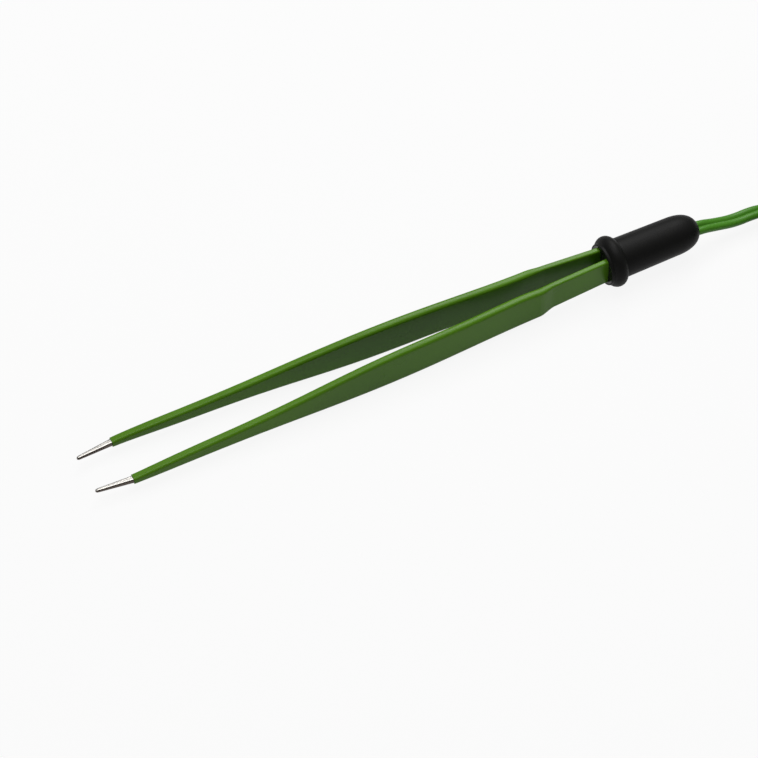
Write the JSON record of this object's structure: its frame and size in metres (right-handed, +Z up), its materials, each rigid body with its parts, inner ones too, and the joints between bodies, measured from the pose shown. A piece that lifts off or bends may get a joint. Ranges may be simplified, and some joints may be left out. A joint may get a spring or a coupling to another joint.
{
  "type": "bipolar forceps",
  "caption": "Straight bipolar surgical forceps with green insulated spring arms, bare serrated tips, a black rear cap and a flat cord with a pinned plug.",
  "frame": {"origin": "under the middle of the forceps' own length, on the surface they lie on, without their cord", "axes": "+X from the tips to the rear cap and the cord, +Y towards the far arm, +Z up"},
  "size_m": [0.3979, 0.0446, 0.0184],
  "materials": {
    "blade_steel": "polished stainless steel",
    "arm_skin": "satin green insulating coat",
    "cap_rubber": "satin black moulded rubber",
    "potting": "glossy black potting",
    "block_plastic": "natural moulded plastic",
    "terminal_brass": "tinned brass",
    "copper": "bare stranded copper",
    "clamp_steel": "crimped steel",
    "cord_jacket": "satin green cord jacket",
    "tie_paper": "white tie",
    "plug_rubber": "satin black moulded rubber",
    "pin_metal": "bright nickel plate"
  },
  "bodies": {
    "handle": {"rear_cap": "cap_rubber", "front_seal": "potting", "spacer_block": "block_plastic", "left_terminal": "terminal_brass", "right_terminal": "terminal_brass", "left_conductor": "copper", "right_conductor": "copper", "cord_clamp": "clamp_steel", "cord_lead": "cord_jacket", "cord_hank": "cord_jacket", "cord_tail": "cord_jacket", "hank_tie": "tie_paper", "plug_body": "plug_rubber", "plug_carrier": "block_plastic", "left_plug_pin": "pin_metal", "right_plug_pin": "pin_metal", "left_plug_conductor": "copper", "right_plug_conductor": "copper"},
    "left_arm": {"left_blade": "blade_steel", "left_insulation": "arm_skin"},
    "right_arm": {"right_blade": "blade_steel", "right_insulation": "arm_skin"}
  },
  "joints": [
    {"name": "left_arm_flex", "type": "hinge", "parent": "handle", "child": "left_arm", "pos_m": [0.06278, -0.00215, 0.00714], "axis": [0.0251, 0, -0.9997], "range_deg": [0, 2.01], "stiffness_Nm_per_rad": 4},
    {"name": "right_arm_flex", "type": "hinge", "parent": "handle", "child": "right_arm", "pos_m": [0.06278, 0.00215, 0.00714], "axis": [-0.0251, 0, 0.9997], "range_deg": [0, 2.01], "stiffness_Nm_per_rad": 4}
  ]
}
